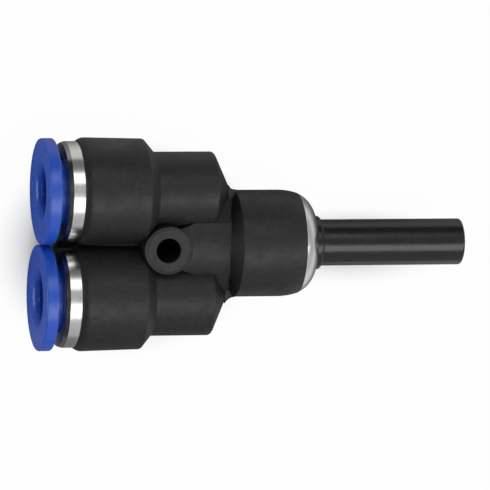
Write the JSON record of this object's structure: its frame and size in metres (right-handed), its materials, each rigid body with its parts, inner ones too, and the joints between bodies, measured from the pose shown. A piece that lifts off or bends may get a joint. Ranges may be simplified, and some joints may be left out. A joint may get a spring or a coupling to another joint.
{
  "type": "tubing y connector",
  "caption": "Push-in tubing Y connector: side-by-side release-ring ports, a moulded black body with a mounting hole, and a plug-in stem held by a domed metal ring.",
  "frame": {"origin": "on the axis of the mounting hole, half way through the body", "axes": "+X along the plug-in stem, away from the ports; +Z along the mounting hole; +Y towards port a"},
  "size_m": [0.056, 0.0278, 0.0138],
  "materials": {
    "black_polymer": "moulded black glass-filled polymer, fine satin",
    "stem_polymer": "smooth semi-gloss black polymer",
    "blue_polymer": "moulded blue polymer, soft satin",
    "plated_brass": "nickel plated, turned",
    "spring_steel": "stamped stainless spring strip",
    "seat_polymer": "natural moulded polymer",
    "seal_rubber": "black nitrile rubber"
  },
  "bodies": {
    "body": {"y_body": "black_polymer", "guide_ring_a": "plated_brass", "guide_ring_b": "plated_brass", "lock_claw_a": "spring_steel", "lock_claw_b": "spring_steel", "claw_seat_a": "seat_polymer", "claw_seat_b": "seat_polymer", "lip_seal_a": "seal_rubber", "lip_seal_b": "seal_rubber", "stem_ring": "plated_brass"},
    "release_a": {"release_ring_a": "blue_polymer"},
    "release_b": {"release_ring_b": "blue_polymer"},
    "stem": {"plug_stem": "stem_polymer", "stem_o_ring": "seal_rubber"}
  },
  "joints": [
    {"name": "release_ring_a_press", "type": "slide", "parent": "body", "child": "release_a", "axis": [1, 0, 0], "range_m": [0, 0.0009], "stiffness_N_per_m": 600, "springref_m": -0.0004, "deforming": ["lock_claw_a"]},
    {"name": "release_ring_b_press", "type": "slide", "parent": "body", "child": "release_b", "axis": [1, 0, 0], "range_m": [0, 0.0009], "stiffness_N_per_m": 600, "springref_m": -0.0004, "deforming": ["lock_claw_b"]},
    {"name": "stem_swivel", "type": "hinge", "parent": "body", "child": "stem", "pos_m": [0.0181, 0, 0], "axis": [1, 0, 0], "continuous": true}
  ]
}
